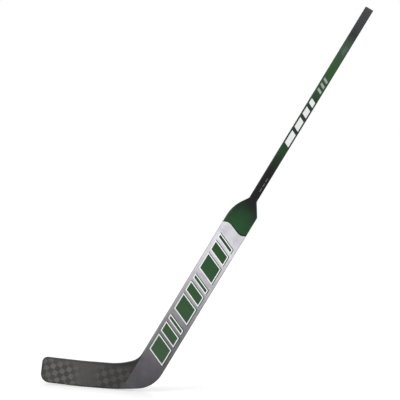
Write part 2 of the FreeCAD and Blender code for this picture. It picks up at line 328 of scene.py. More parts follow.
def carbonWeave():
    tree = newGroup("carbonWeave", {}, {"Colour": "Color", "Fibre": "Float"})
    axes = useGroup(tree, axesGroup)
    wander = noise(axes["Board"], *weave["wanderNoise"])
    across = timesPlus(wander, weave["wander"], axes["Across"])
    along = timesPlus(wander, -weave["wander"], axes["Along"])
    # the cloth is drawn out a little towards the heel
    toe, heel = 1 / weave["squareToe"], 1 / weave["squareHeel"]
    pace = spread(axes["Level"], *weave["stretch"], toe, heel)
    steps, waves, cells = [], [], {}
    for place, startToe, startHeel in zip((across, along), weave["startToe"], weave["startHeel"]):
        start = spread(axes["Level"], *weave["stretch"], startToe * toe, startHeel * heel)
        steps.append(calc("SUBTRACT", times(place, pace), start))
    for i, step in enumerate(steps):
        waves.append(calc("SINE", times(step, math.pi)))
        cells[i] = calc("FLOOR", step)
    # a product of two waves, sharpened, gives squares that are brightest in the middle
    squares = spread(times(*waves), *weave["soft"])
    pitch = weave["tow"] / (2 * math.pi)
    lineU, lineV = [calc("SINE", calc("DIVIDE", place, pitch)) for place in (across, along)]
    fibre = addNode(tree, "ShaderNodeMix", {0: squares, 2: lineU, 3: lineV}, data_type="FLOAT")[0]
    cell = {"Vector": addNode(tree, "ShaderNodeCombineXYZ", cells)[0]}
    chance = addNode(tree, "ShaderNodeTexWhiteNoise", cell, noise_dimensions="2D")["Value"]
    lit = times(squares, timesPlus(chance, -weave["varied"], 1.0))
    tone = mixColour(lit, paint(*weave["dark"]), paint(*weave["light"]))
    # painted highlight: the squares wash out to an even grey across the middle of the blade; the same wash is
    # added in patches, towards the heel and along the top edge
    aside = calc("SUBTRACT", axes["Level"], weave["highlightCentre"])
    away = calc("MAXIMUM", calc("DIVIDE", aside, -weave["highlightToeSide"]),
                calc("DIVIDE", aside, weave["highlightHeelSide"]))
    patch = noise(axes["Board"], *weave["patchNoise"])
    highlightWash = spread(away, *weave["highlightFade"])
    highlightWash = calc("ADD", highlightWash, spread(patch, *weave["washPatch"]))
    highlightWash = calc("ADD", highlightWash, spread(axes["Level"], *weave["washHeel"]))
    highlightWash = calc("ADD", highlightWash, spread(axes["Height"], *weave["washTop"]), clamp=True)
    tone = mixColour(highlightWash, tone, paint(*weave["highlightWash"]))
    tone = tinted(tone, timesPlus(fibre, weave["fibre"], 1.0))
    for end in ("heelTone", "toeTone"):
        tone = tinted(tone, spread(axes["Level"], *weave[end]))
    crotch = times(spread(axes["Level"], *weave["crotchLevel"]),
                   spread(axes["Height"], *weave["crotchHeight"]))
    tone = tinted(tone, spread(crotch, 0, 1, 1.0, weave["crotchTone"], smooth=False))
    addNode(tree, "NodeGroupOutput", {"Colour": tone, "Fibre": fibre})
    return tree


weaveGroup = carbonWeave()
print("node groups ready")


# short hands for meshes
def picked(geom, kind):
    return [item for item in geom if isinstance(item, kind)]


def everything(bm):
    return bm.verts[:] + bm.edges[:] + bm.faces[:]


def cutAcross(bm, geom, u):
    bmesh.ops.bisect_plane(bm, geom=geom, dist=cutReach, plane_co=boardPoint(u, 0, 0), plane_no=acrossAxis)


def insetFaces(bm, faces, width):
    return bmesh.ops.inset_region(bm, faces=faces, thickness=width * mm, use_even_offset=True,
                                  use_boundary=True)["faces"]


def arcSteps(turn, radius, sag=0.03, least=4):
    return max(least, math.ceil(abs(turn) / (2 * math.acos(1 - sag / max(radius, 2 * sag)))))


def roundedLoop(bm, corners, y, steps=None):
    # corners are (x, z, radius) in order round the outline, seen from the front
    points = [Vector((x, 0, z)) * mm for x, z, radius in corners]
    ahead = [(points[(i + 1) % len(points)] - point).normalized() for i, point in enumerate(points)]
    depth = Vector((0, y * mm, 0))
    chains = []
    for i, (x, z, radius) in enumerate(corners):
        if not radius:
            vert = bm.verts.new(points[i] + depth)
            chains.append((vert, vert))
            continue
        before, after = ahead[i - 1], ahead[i]
        turn = math.atan2(before.x * after.z - before.z * after.x, before.dot(after))
        size = radius * mm
        start = points[i] - before * size * math.tan(abs(turn) / 2) + depth
        side = Vector((-before.z, 0, before.x)) * math.copysign(size, turn)
        vert = bm.verts.new(start)
        made = bmesh.ops.spin(bm, geom=[vert], cent=start + side, axis=(0, -1, 0), angle=turn,
                              steps=steps or arcSteps(turn, radius))
        chains.append((vert, picked(made["geom_last"], vertKind)[0]))
    for chain, following in zip(chains, chains[1:] + chains[:1]):
        bm.edges.new((chain[1], following[0]))
    # walk round the closed outline from its first corner
    loop, before, vert = [], chains[-1][1], chains[0][0]
    while not loop or vert is not loop[0]:
        loop.append(vert)
        after = [edge.other_vert(vert) for edge in vert.link_edges if edge.other_vert(vert) is not before]
        before, vert = vert, after[0]
    return loop


def markRoll(bm):
    # 0 where the surface faces front or back, 1 on the sides
    rollLayer = bm.verts.layers.float.new("roll")
    bm.normal_update()
    for vert in bm.verts:
        vert[rollLayer] = 1.0 - abs(vert.normal.y)


def toObject(bm, name, materials, node=None):
    bmesh.ops.remove_doubles(bm, verts=bm.verts, dist=mergeReach)
    for edge in bm.edges:
        edge.smooth = edge.calc_face_angle(math.pi) < sharpAngle
    for face in bm.faces:
        face.smooth = True
    mesh = bpy.data.meshes.new(name)
    for material in materials:
        mesh.materials.append(material)
    bm.to_mesh(mesh)
    bm.free()
    piece = bpy.data.objects.new(name, mesh)
    bpy.context.scene.collection.objects.link(piece)
    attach(piece, "root")
    if node:
        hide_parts(node)


# shoulder, paddle, heel and blade, made as one body and then parted
body = {
    "shoulderSlope": 33.0,
    "shoulderRoundToe": 118.0,
    "shoulderRoundHeel": 8.0,
    "neckRound": 9.0,
    "crotchHeight": 102.0,
    "crotchSlope": 20.0,
    "crotchRoundPaddle": 52.0,
    "crotchRoundBlade": 215.0,
    "bladeHeight": 81.7,
    "topBend": -30.0,
    "topRise": 2.5,
    "topRound": 1000.0,
    "toeReach": -163.0,
    "toeRake": 3.2,
    "toeRoundTop": 17.0,
    "toeRoundSole": 29.0,
    "soleFlat": 23.0,
    "soleRiseToe": 2.4,
    "soleRoundToe": 500.0,
    "soleRiseHeel": 7.2,
    "soleRoundHeel": 1000.0,
    "heelRound": 95.0,
    "waveStation": 609.3,
    "waveHeight": 9.5,
    "waveReach": 27.0,
    "waveRound": 26.0,
    "seamTop": (2.8, 1.8),
    "seamFoot": (-0.25, -2.4),
    "seamCuts": range(-32, 33, 4),
    "jointEdge": -47.5,
    "bendStart": -107.5,
    "bendLength": 80.0,
    "bendCuts": 10,
    "toeFront": -19.0,
    "toeBack": -9.0,
    "rimSegments": 6,
    "edgeBand": 2.4,
    "spare": 20.0,
}
sideLean, faceLean = 0.3, 0.7  # a side's normal has less depth than the first, a face's more than the second
zoneNames = ["shoulder", "seam", "foot", "paddle", "blade"]

# the joint of shoulder and paddle, and the edges of the dark line painted over it:
# how far each lies above the joint, on the toe side and on the heel side
waveLines = {"joint": (0.0, 0.0), "top": body["seamTop"], "foot": body["seamFoot"]}


def waveCorners(line):
    toe, heel = (body["waveStation"] + lift for lift in waveLines[line])
    half, reach = stick["halfWidth"], body["waveReach"]
    height, radius = body["waveHeight"], body["waveRound"]
    path = [(-half, toe, 0.0), (-reach, toe + height, radius),
            (reach, heel - height, radius), (half, heel, 0.0)]
    return [onBoard(u, v) + (size,) for u, v, size in path]


def wavePath(line):
    guide = bmesh.new()
    path = [(acrossOf(vert.co), alongOf(vert.co)) for vert in roundedLoop(guide, waveCorners(line), 0.0)]
    guide.free()
    return path


def waveAt(path, u):
    for (lowU, lowV), (highU, highV) in zip(path, path[1:]):
        if u <= highU:
            return lowV + (highV - lowV) * (u - lowU) / (highU - lowU)
    return path[-1][1]


def shoulderOutline():
    half = stick["halfWidth"]
    slope = slopeOf(body["shoulderSlope"])
    top = stick["collar"] + body["spare"]
    left, right, neck = stick["shaftLeft"], stick["shaftRight"], stick["neck"]
    toeSide = [(left, top, 0.0), (left, neck, body["neckRound"]),
               (-half, neck - (left + half) / slope, body["shoulderRoundToe"])]
    heelSide = [(half, neck - (half - right) / slope, body["shoulderRoundHeel"]),
                (right, neck, body["neckRound"]), (right, top, 0.0)]
    toeSide, heelSide = ([onBoard(u, v) + (size,) for u, v, size in part] for part in (toeSide, heelSide))
    return toeSide + waveCorners("top") + heelSide


def toeTop():
    x = body["toeReach"] + body["toeRake"]
    return x, body["bladeHeight"] + (body["topBend"] - x) * slopeOf(body["topRise"])


def lowerOutline():
    half = stick["halfWidth"]
    crotchX, crotchZ = onBoard(-half, (body["crotchHeight"] - half * lieCos) / lieSin)
    crotchRun = (body["crotchHeight"] - body["bladeHeight"]) / slopeOf(body["crotchSlope"])
    toeTopX, toeTopZ = toeTop()
    soleToe = -body["soleFlat"] - body["soleRoundToe"] * slopeOf(body["soleRiseToe"] / 2)
    soleHeel = body["soleFlat"] + body["soleRoundHeel"] * slopeOf(body["soleRiseHeel"] / 2)
    toeFootZ = (soleToe - body["toeReach"]) * slopeOf(body["soleRiseToe"])
    rise, lean = slopeOf(body["soleRiseHeel"]), 1 / math.tan(stick["lie"])
    footX, footZ = onBoard(half, 0.0)
    heelX = (footX - lean * (footZ + rise * soleHeel)) / (1 - lean * rise)
    wave = waveCorners("foot")
    return [
        wave[0],
        (crotchX, crotchZ, body["crotchRoundPaddle"]),
        (crotchX - crotchRun, body["bladeHeight"], body["crotchRoundBlade"]),
        (body["topBend"], body["bladeHeight"], body["topRound"]),
        (toeTopX, toeTopZ, body["toeRoundTop"]),
        (body["toeReach"], toeFootZ, body["toeRoundSole"]),
        (soleToe, 0.0, body["soleRoundToe"]),
        (soleHeel, 0.0, body["soleRoundHeel"]),
        (heelX, (heelX - soleHeel) * rise, body["heelRound"]),
    ] + wave[:0:-1]


def faceDepth(u, joint, toe):
    # flat to the bend, then curved forward, then straight to the toe
    run = body["bendStart"] - u
    toeX, toeZ = toeTop()
    toeEdge = acrossOf(Vector((toeX, 0, toeZ)) * mm)
    slope = (toe - joint) / (body["bendStart"] - body["bendLength"] / 2 - toeEdge)
    if run <= 0:
        return joint
    if run < body["bendLength"]:
        return joint + slope * run * run / (2 * body["bendLength"])
    return joint + slope * (run - body["bendLength"] / 2)


def faceDepths(u):
    half = stick["halfDepth"]
    return faceDepth(u, -half, body["toeFront"]), faceDepth(u, half, body["toeBack"])


def bodyPlan(bm):
    outlines = {
        "shoulder": shoulderOutline(),
        "seam": waveCorners("joint") + waveCorners("top")[::-1],
        "foot": waveCorners("foot") + waveCorners("joint")[::-1],
        "paddle": lowerOutline(),
    }
    for zone, corners in outlines.items():
        face = bm.faces.new(roundedLoop(bm, corners, -stick["halfDepth"]))
        face.material_index = zoneNames.index(zone)
    bmesh.ops.remove_doubles(bm, verts=bm.verts, dist=mergeReach)
    # the narrow bands of the seam are cut into short cells
    for u in body["seamCuts"]:
        bands = [face for face in bm.faces if zoneNames[face.material_index] in ("seam", "foot")]
        parts = dict.fromkeys(part for face in bands for part in face.verts[:] + face.edges[:])
        cutAcross(bm, list(parts) + bands, u)
    for i in range(body["bendCuts"] + 1):
        cutAcross(bm, everything(bm), body["bendStart"] - body["bendLength"] * i / body["bendCuts"])


def bodyDepth(bm):
    # two layers behind the plan, so that the halves part in the middle, then the blade's curve and taper
    half = stick["halfDepth"]
    step = Vector((0, half * mm, 0))
    grown = bmesh.ops.extrude_face_region(bm, geom=bm.faces[:], use_keep_orig=True)["geom"]
    bmesh.ops.translate(bm, verts=picked(grown, vertKind), vec=step)
    middle = picked(grown, faceKind)
    grown = bmesh.ops.extrude_face_region(bm, geom=middle)["geom"]
    bmesh.ops.translate(bm, verts=picked(grown, vertKind), vec=step)
    bmesh.ops.delete(bm, geom=[face for face in middle if face.is_valid], context="FACES")
    bmesh.ops.recalc_face_normals(bm, faces=bm.faces)
    for vert in bm.verts:
        side = vert.co.y / (half * mm)
        front, back = faceDepths(acrossOf(vert.co))
        vert.co.y = ((front + back) / 2 + side * (back - front) / 2) * mm


def rollRim(bm):
    bm.normal_update()
    rim = []
    for edge in bm.edges:
        lean = sorted(abs(face.normal.y) for face in edge.link_faces)
        if lean[0] < sideLean and lean[-1] > faceLean:
            rim.append(edge)
    made = bmesh.ops.bevel(bm, geom=rim, offset=stick["rim"] * mm, offset_type="OFFSET", affect="EDGES",
                           segments=body["rimSegments"], profile=0.5, material=-1, clamp_overlap=False)
    rolled = set(made["faces"])
    caps = [face for face in bm.faces if face not in rolled and abs(face.normal.y) > faceLean]
    markRoll(bm)
    # the edge mask fades out over a narrow band inside the rim
    edgeLayer = bm.verts.layers.float.new("edge")
    for vert in bm.verts:
        vert[edgeLayer] = 1.0
    insetFaces(bm, caps, body["edgeBand"])
    for face in caps:
        for vert in face.verts:
            vert[edgeLayer] = 0.0


def slideSeam(bm):
    # the ends of these lines were carried square to the outline, and slide back onto the wave
    borders = {"top": ("shoulder", "seam"), "joint": ("seam", "foot"), "foot": ("foot", "paddle")}
    for line, zones in borders.items():
        path = wavePath(line)
        between = {zoneNames.index(zone) for zone in zones}
        for vert in bm.verts:
            if {face.material_index for face in vert.link_faces} == between:
                u = acrossOf(vert.co)
                vert.co = boardPoint(u, waveAt(path, u), vert.co.y / mm)


def makeBody():
    bm = bmesh.new()
    bodyPlan(bm)
    bodyDepth(bm)
    rollRim(bm)
    slideSeam(bm)
    bmesh.ops.bisect_plane(bm, geom=everything(bm), dist=cutReach, clear_outer=True,
                           plane_co=boardPoint(0, stick["collar"], 0), plane_no=alongAxis)
    cutAcross(bm, everything(bm), body["jointEdge"])
    for face in bm.faces:
        if acrossOf(face.calc_center_median()) < body["jointEdge"]:
            face.material_index = zoneNames.index("blade")
    return bm


def shellPiece(form, name, kept, front, materials, node):
    bm = form.copy()
    drop = []
    for face in bm.faces:
        centre = face.calc_center_median()
        isFront = centre.y < sum(faceDepths(acrossOf(centre))) / 2 * mm
        if zoneNames[face.material_index] not in kept or isFront != front:
            drop.append(face)
    bmesh.ops.delete(bm, geom=drop, context="FACES")
    for face in bm.faces:
        face.material_index = kept.index(zoneNames[face.material_index])
    bm.normal_update()
    bmesh.ops.solidify(bm, geom=bm.faces[:], thickness=stick["skin"] * mm)
    toObject(bm, name, materials, node)


form = makeBody()
print("body form,", len(form.faces), "faces")


# lacquers and laminates
def startLacquer(name, look):
    material, tree = newMaterial(name, **look["gloss"])
    return material, tree, useGroup(tree, lacquerGroup, **look["surface"])


def streaksOf(tree, look):
    return useGroup(tree, streakGroup, **look["streaks"])["Tone"]


def rubbed(surface, colour, look):
    return mixColour(times(surface["Rub"], look["rub"]), colour, paint(*look["bare"]))


def paddleLacquer():
    look = {
        "gloss": {"Specular_IOR_Level": 0.2, "Coat_Weight": 0.06, "Coat_Roughness": 0.15},
        "surface": {"Roughness": 0.4, "Side": 0.25, "Flake": 0.14},
        "fade": [(0, (76, 75, 78)), (60, (83, 81, 86)), (95, (90, 88, 94)), (210, (119, 117, 122)),
                 (330, (154, 152, 158)), (460, (195, 193, 199)), (540, (209, 207, 214)),
                 (620, (209, 207, 214))],
        "streaks": {"Amount": 0.24, "Pitch": 2.2},
        "heelSide": (-10, 40, 1.0, 0.84),
        "heelFade": (260, 420, 1.0, 0.0),
        "flankLightingFrom": (22, 38),
        "flankLightingFade": (380, 500, 0.0, 0.07),
        "edgeHighlightColour": (216, 214, 220),
        "edgeHighlightSides": (-36, 36, 0.12, 0.03),
        "edgeHighlightFade": (40, 220),
        "clothReach": (-43.2, -39.6, 1.0, 0.0),
        "clothTone": 0.8,
        "clothLow": (-12, 14),
        "clothTop": (108, 126, 1.0, 0.0),
        "bare": (104, 102, 106),
        "rub": 0.5,
        "bump": (0.00004, 0.25),
    }
    material, tree, surface = startLacquer("paddleLacquer", look)
    axes = useGroup(tree, axesGroup)
    across, along = axes["Across"], axes["Along"]
    base = fadeRamp(along, look["fade"])
    colour = tinted(base, times(streaksOf(tree, look), surface["Cloud"]))
    shaded = tinted(colour, spread(across, *look["heelSide"]))
    colour = mixColour(spread(along, *look["heelFade"]), colour, shaded)
    aside = calc("ABSOLUTE", across)
    # painted highlight: lighter strips near both edges, high on the paddle
    flankLighting = times(spread(aside, *look["flankLightingFrom"]), spread(along, *look["flankLightingFade"]))
    colour = tinted(colour, calc("ADD", flankLighting, 1.0))
    # painted highlight along the rolled rim, stronger on the toe side and higher up the paddle
    glow = times(spread(across, *look["edgeHighlightSides"]), spread(along, *look["edgeHighlightFade"]))
    colour = mixColour(times(surface["Edge"], glow), colour, paint(*look["edgeHighlightColour"]))
    # the blade's cloth shows for a few millimetres past the joint, before the lacquer covers it
    ends = times(spread(along, *look["clothLow"]), spread(along, *look["clothTop"]))
    clothMask = times(spread(across, *look["clothReach"]), ends)
    cloth = tinted(useGroup(tree, weaveGroup)["Colour"], (look["clothTone"],) * 3 + (1.0,))
    colour = rubbed(surface, mixColour(clothMask, colour, cloth), look)
    return finishShader(material, colour, surface["Roughness"], surface["Height"], look["bump"])


def shoulderLacquer():
    look = {
        "gloss": {"Specular_IOR_Level": 0.16, "Coat_Weight": 0.05, "Coat_Roughness": 0.15},
        "surface": {"Roughness": 0.42, "Flake": 0.3},
        "shade": [(0, (12, 12, 12)), (36, (12, 17, 13)), (52, (17, 36, 20)), (80, (29, 65, 34)),
                  (112, (31, 74, 37)), (150, (33, 76, 39))],
        "shadeCentre": (8.0, 742.0),
        "shadeStretch": 0.9,
        "flankShade": (15, 26, 17),
        "flankLightingFrom": 1.5,
        "flankReach": (10, 33),
        "flankLightingFade": (645, 685, 0.18, 0.75),
        "streaks": {"Amount": 0.6, "Pitch": 3.8},
        "bare": (70, 74, 70),
        "rub": 0.4,
        "bump": (0.00004, 0.25),
    }
    material, tree, surface = startLacquer("shoulderLacquer", look)
    axes = useGroup(tree, axesGroup)
    # dark round the neck, then green
    awayU = calc("SUBTRACT", axes["Across"], look["shadeCentre"][0])
    awayV = calc("SUBTRACT", axes["Along"], look["shadeCentre"][1])
    awayV = times(awayV, look["shadeStretch"])
    away = calc("ADD", times(awayU, awayU), times(awayV, awayV))
    base = fadeRamp(calc("SQRT", away), look["shade"])
    # painted shade along both flanks towards the neck, and faintly along the edges lower down
    aside = calc("ABSOLUTE", calc("SUBTRACT", axes["Across"], look["flankLightingFrom"]))
    flankLighting = times(spread(aside, *look["flankReach"]), spread(axes["Along"], *look["flankLightingFade"]))
    base = mixColour(flankLighting, base, paint(*look["flankShade"]))
    colour = tinted(base, times(streaksOf(tree, look), surface["Cloud"]))
    colour = rubbed(surface, colour, look)
    return finishShader(material, colour, surface["Roughness"], surface["Height"], look["bump"])


def seamLine():
    look = {
        "gloss": {"Specular_IOR_Level": 0.16},
        "surface": {"Roughness": 0.5},
        "colour": (14, 20, 15),
        "streaks": {"Amount": 0.3, "Pitch": 1.0},
        "bump": (0.00003, 0.2),
    }
    material, tree, surface = startLacquer("seamLine", look)
    colour = tinted(paint(*look["colour"]), streaksOf(tree, look))
    return finishShader(material, colour, surface["Roughness"], surface["Height"], look["bump"])


def bladeCarbon():
    look = {
        "gloss": {"Specular_IOR_Level": 0.18, "Coat_Weight": 0.06, "Coat_Roughness": 0.2},
        "surface": {"Roughness": 0.42},
        "border": (20, 20, 20),
        "borderSide": 0.65,
        "borderBand": 0.35,
        "fibreHeight": 0.25,
        "bump": (0.00003, 0.3),
    }
    material, tree, surface = startLacquer("bladeCarbon", look)
    cloth = useGroup(tree, weaveGroup)
    band = times(surface["Edge"], look["borderBand"])
    border = timesPlus(surface["Roll"], look["borderSide"], band)
    colour = mixColour(border, cloth["Colour"], paint(*look["border"]))
    height = timesPlus(cloth["Fibre"], look["fibreHeight"], surface["Height"])
    return finishShader(material, colour, surface["Roughness"], height, look["bump"])


seamPaint = seamLine()
shells = {
    "shoulder": (["shoulder", "seam"], [shoulderLacquer(), seamPaint], "shoulder_lacquer"),
    "paddle": (["paddle", "foot"], [paddleLacquer(), seamPaint], "paddle_lacquer"),
    "blade": (["blade"], [bladeCarbon()], "blade_carbon"),
}
print("lacquers ready")

for half in ("front", "back"):
    for part, (zones, materials, slot) in shells.items():
        shellPiece(form, f"{part}_{half}", zones, half == "front", materials, f"{part}_{half}_shell")
form.free()
print("shells made")


# shaft tube with its tenon, one section extruded to the next and back up the bore
shaft = {
    "width": 28.0,
    "depth": 20.0,
    "shift": 2.5,
    "corner": 4.2,
    "cornerSteps": 6,
    "wall": 1.7,
    "boreCorner": 1.0,
    "tenonWidth": 19.6,
    "tenonDepth": 18.0,
    "tenonCorner": 2.2,
    "tenonEnd": 579.0,
    "step": 733.0,
    "easing": 0.35,
    "edgeFrom": 0.1,
}


def shaftLacquer():
    look = {
        "gloss": {"Specular_IOR_Level": 0.16, "Coat_Weight": 0.05, "Coat_Roughness": 0.2},
        "surface": {"Roughness": 0.44, "Flake": 0.3},
        "fade": [(719, (13, 13, 12)), (825, (15, 16, 15)), (880, (23, 50, 27)), (915, (28, 61, 31)),
                 (950, (32, 48, 36)), (1075, (36, 54, 40)), (1120, (38, 70, 40)), (1220, (44, 80, 44)),
                 (1280, (56, 78, 61)), (1340, (50, 53, 54)), (1436, (69, 69, 71))],
        "streaks": {"Amount": 0.6, "Pitch": 3.8},
        "clothSquare": 4.2,
        "clothSoft": (-0.35, 0.35, -0.5, 0.5),
        "clothFade": (1262, 1335, 0.0, 0.75),
        "bare": (66, 68, 67),
        "rub": 0.5,
        "bump": (0.00005, 0.3),
    }
    material, tree, surface = startLacquer("shaftLacquer", look)
    axes = useGroup(tree, axesGroup)
    along = axes["Along"]
    # small squares of cloth show through the thin coat on the grip, round the sides too
    around = calc("ADD", axes["Across"], axes["Depth"])
    pace = math.pi / look["clothSquare"]
    waves = [calc("SINE", times(place, pace)) for place in (around, along)]
    squares = spread(times(*waves), *look["clothSoft"])
    clothTone = timesPlus(squares, spread(along, *look["clothFade"]), 1.0)
    tone = times(streaksOf(tree, look), clothTone)
    colour = tinted(fadeRamp(along, look["fade"]), times(tone, surface["Cloud"]))
    colour = rubbed(surface, colour, look)
    return finishShader(material, colour, surface["Roughness"], surface["Height"], look["bump"])


def shaftSection(shrink, corner, station):
    return shaft["width"] - 2 * shrink, shaft["depth"] - 2 * shrink, corner, station


def tenonSection(shrink, corner, station):
    return shaft["tenonWidth"] - 2 * shrink, shaft["tenonDepth"] - 2 * shrink, corner, station


def shaftLoop(bm, width, depth, corner, station):
    halfW, halfD = width / 2, depth / 2
    signs = ((1, -1), (1, 1), (-1, 1), (-1, -1))
    corners = [(across * halfW, deep * halfD, corner) for across, deep in signs]
    loop = roundedLoop(bm, corners, 0.0, steps=shaft["cornerSteps"])
    for vert in loop:
        vert.co = boardPoint(vert.co.x / mm + shaft["shift"], station, vert.co.z / mm)
    return loop


def tubeFromSections(bm, sections):
    # the first loop is extruded to each following section in turn
    loop = shaftLoop(bm, *sections[0])
    for section in sections[1:]:
        guide = bmesh.new()
        places = [vert.co.copy() for vert in shaftLoop(guide, *section)]
        guide.free()
        edges = [bm.edges.get((vert, loop[i - 1])) for i, vert in enumerate(loop)]
        grown = set(bmesh.ops.extrude_edge_only(bm, edges=edges)["geom"])
        following = []
        for vert, place in zip(loop, places):
            newVert = [e.other_vert(vert) for e in vert.link_edges if e.other_vert(vert) in grown][0]
            newVert.co = place
            following.append(newVert)
        loop = following
    bmesh.ops.remove_doubles(bm, verts=bm.verts, dist=mergeReach)
    bmesh.ops.recalc_face_normals(bm, faces=bm.faces)


def shaftPiece():
    bm = bmesh.new()
    corner, ease, wall, boreCorner = shaft["corner"], shaft["easing"], shaft["wall"], shaft["boreCorner"]
    low, high = stick["collar"], stick["tubeEnd"]
    tenonFoot = tenonSection(0, shaft["tenonCorner"], shaft["tenonEnd"])
    tubeFromSections(bm, [
        tenonFoot,
        tenonSection(0, shaft["tenonCorner"], low),
        shaftSection(ease, corner - ease, low),
        shaftSection(0, corner, low + ease),
        shaftSection(0, corner, high - ease),
        shaftSection(ease, corner - ease, high),
        shaftSection(wall, boreCorner, high),
        shaftSection(wall, boreCorner, shaft["step"]),
        tenonSection(wall, boreCorner, shaft["step"]),
        tenonSection(wall, boreCorner, shaft["tenonEnd"]),
        tenonFoot,
    ])
    markRoll(bm)
    edgeLayer = bm.verts.layers.float.new("edge")
    flatU, flatY = (shaft[size] / 2 - corner + shaft["edgeFrom"] for size in ("width", "depth"))
    for vert in bm.verts:
        u, y = acrossOf(vert.co) - shaft["shift"], vert.co.y / mm
        vert[edgeLayer] = 1.0 if abs(u) > flatU and abs(y) > flatY else 0.0
    toObject(bm, "shaft", [shaftLacquer()], "shaft_tube")


shaftPiece()
print("shaft made")

# end plug: dished flange on the tube, hollow stem and crush ribs inside it
plug = {
    "round": 1.0,
    "seatEase": 0.25,
    "dishRim": 3.2,
    "dish": 0.7,
    "dishRings": [(0.0, 2.0), (0.6, 1.4), (4.5, 1.0)],  # inwards from its rim, and corner
    "stem": 38.0,
    "stemCorner": 0.8,
    "hollowCorner": 0.6,
    "slack": 0.6,
    "wall": 1.8,
    "ribWidth": 2.0,
    "ribSpacing": 10.0,
    "colour": (67, 67, 69),
    "specular": 0.4,
    "grainScale": 1.4,
    "cloud": (0.15, 4.0),
    "cloudFrom": (0.3, 0.7),
    "cloudTone": (0.88, 1.1),
    "cloudRough": (0.5, 0.62),
    "bump": (0.0001, 0.35),
}


def plugPlastic():
    material, tree = newMaterial("plugPlastic", Specular_IOR_Level=plug["specular"])
    board = useGroup(tree, axesGroup)["Board"]
    grain = addNode(tree, "ShaderNodeTexVoronoi", {"Vector": board, "Scale": plug["grainScale"]})["Distance"]
    cloud = noise(board, *plug["cloud"])
    tone, rough = [spread(cloud, *plug["cloudFrom"], *plug[key]) for key in ("cloudTone", "cloudRough")]
    return finishShader(material, tinted(paint(*plug["colour"]), tone), rough, grain, plug["bump"])


def plugPiece():
    bm = bmesh.new()
    corner, ease, seat = shaft["corner"], plug["round"], plug["seatEase"]
    stem = shaft["wall"] + plug["slack"]
    base, top, stemEnd = stick["tubeEnd"], stick["butt"], stick["tubeEnd"] - plug["stem"]
    half = ease * (1 - math.sqrt(0.5))
    (rim, rimCorner), *floor = plug["dishRings"]
    tubeFromSections(bm, [
        shaftSection(stem + plug["wall"], plug["hollowCorner"], stemEnd),
        shaftSection(stem, plug["stemCorner"], stemEnd),
        shaftSection(stem, plug["stemCorner"], base),
        shaftSection(seat, corner - seat, base),
        shaftSection(0, corner, base + seat),
        shaftSection(0, corner, top - ease),
        shaftSection(half, corner - half, top - half),
        shaftSection(ease, corner - ease, top),
        shaftSection(plug["dishRim"] + rim, rimCorner, top),
    ] + [shaftSection(plug["dishRim"] + shrink, size, top - plug["dish"]) for shrink, size in floor])
    openEdges = [edge for edge in bm.edges if edge.is_boundary]
    topEdges = [edge for edge in openEdges if alongOf(edge.verts[0].co) > base]
    lowEdges = [edge for edge in openEdges if edge not in topEdges]
    bmesh.ops.contextual_create(bm, geom=topEdges)
    # the hollow runs up inside the stem to the flange
    grown = bmesh.ops.extrude_edge_only(bm, edges=lowEdges)["geom"]
    lift = boardPoint(0, base, 0) - boardPoint(0, stemEnd, 0)
    bmesh.ops.translate(bm, verts=picked(grown, vertKind), vec=lift)
    bmesh.ops.contextual_create(bm, geom=picked(grown, edgeKind))
    bmesh.ops.recalc_face_normals(bm, faces=bm.faces)
    # crush ribs fill the slack: two on each wide side, one on each narrow side
    ribU, ribY = (shaft[size] / 2 - shaft["wall"] - plug["slack"] / 2 for size in ("width", "depth"))
    wide, thin = plug["ribWidth"], plug["slack"]
    spots = [(side * plug["ribSpacing"] / 2, deep * ribY, wide, thin) for side in (-1, 1) for deep in (-1, 1)]
    spots += [(side * ribU, 0.0, thin, wide) for side in (-1, 1)]
    turn = Matrix(((lieSin, lieCos, 0), (0, 0, 1), (-lieCos, lieSin, 0))).to_4x4()
    for u, y, sizeU, sizeY in spots:
        shape = Matrix.Diagonal((sizeU * mm, plug["stem"] * mm, sizeY * mm, 1))
        centre = boardPoint(u + shaft["shift"], base - plug["stem"] / 2, y)
        bmesh.ops.create_cube(bm, size=1.0, matrix=Matrix.Translation(centre) @ turn @ shape)
    toObject(bm, "butt_plug_cap", [plugPlastic()], "butt_plug")


plugPiece()
print("plug made")


# printed film: slanted bars with a keyline and a drop line, on both faces
paddleBars = {
    "low": 126.0,
    "bars": [58, 35, 16, 58, 35, 16, 58, 35, 16],
    "gaps": [11, 11, 21],
    "slant": -0.42,
    "halfWidth": 31.5,
    "centre": -1.0,
    "keyline": 3.2,
    "drop": 2.6,
}
shaftBars = {
    "low": 926.0,
    "bars": [46, 36, 27, 18],
    "gaps": [13],
    "slant": -0.5,
    "halfWidth": 8.8,
    "centre": 2.5,
}
shaftMarks = {
    "low": 1124.0,
    "bars": [9, 9, 9],
    "gaps": [10],
    "slant": -0.5,
    "halfWidth": 8.0,
    "centre": 2.5,
}
gripMarks = {
    "low": 1268.0,
    "bars": [2, 2, 2, 2],
    "gaps": [5],
    "slant": -0.5,
    "halfWidth": 4.5,
    "centre": 4.0,
}
neckMarks = {
    "low": 752.0,
    "bars": [13, 13, 13],
    "gaps": [5],
    "slant": 0.0,
    "halfWidth": 1.1,
    "centre": 7.0,
}
film = {
    "sunk": 0.05,
    "lift": 0.1,
    "gloss": {"Specular_IOR_Level": 0.16, "Coat_Weight": 0.05, "Coat_Roughness": 0.15},
    "surface": {"Roughness": 0.4},
    "pitch": 2.0,
    "bump": (0.00003, 0.2),
}


def barQuads(bars):
    station, quads = bars["low"], []
    left, right = bars["centre"] - bars["halfWidth"], bars["centre"] + bars["halfWidth"]
    for i, size in enumerate(bars["bars"]):
        corners = [(left, station), (right, station), (right, station + size), (left, station + size)]
        quads.append([(u, v + bars["slant"] * u) for u, v in corners])
        station += size + bars["gaps"][i % len(bars["gaps"])]
    return quads


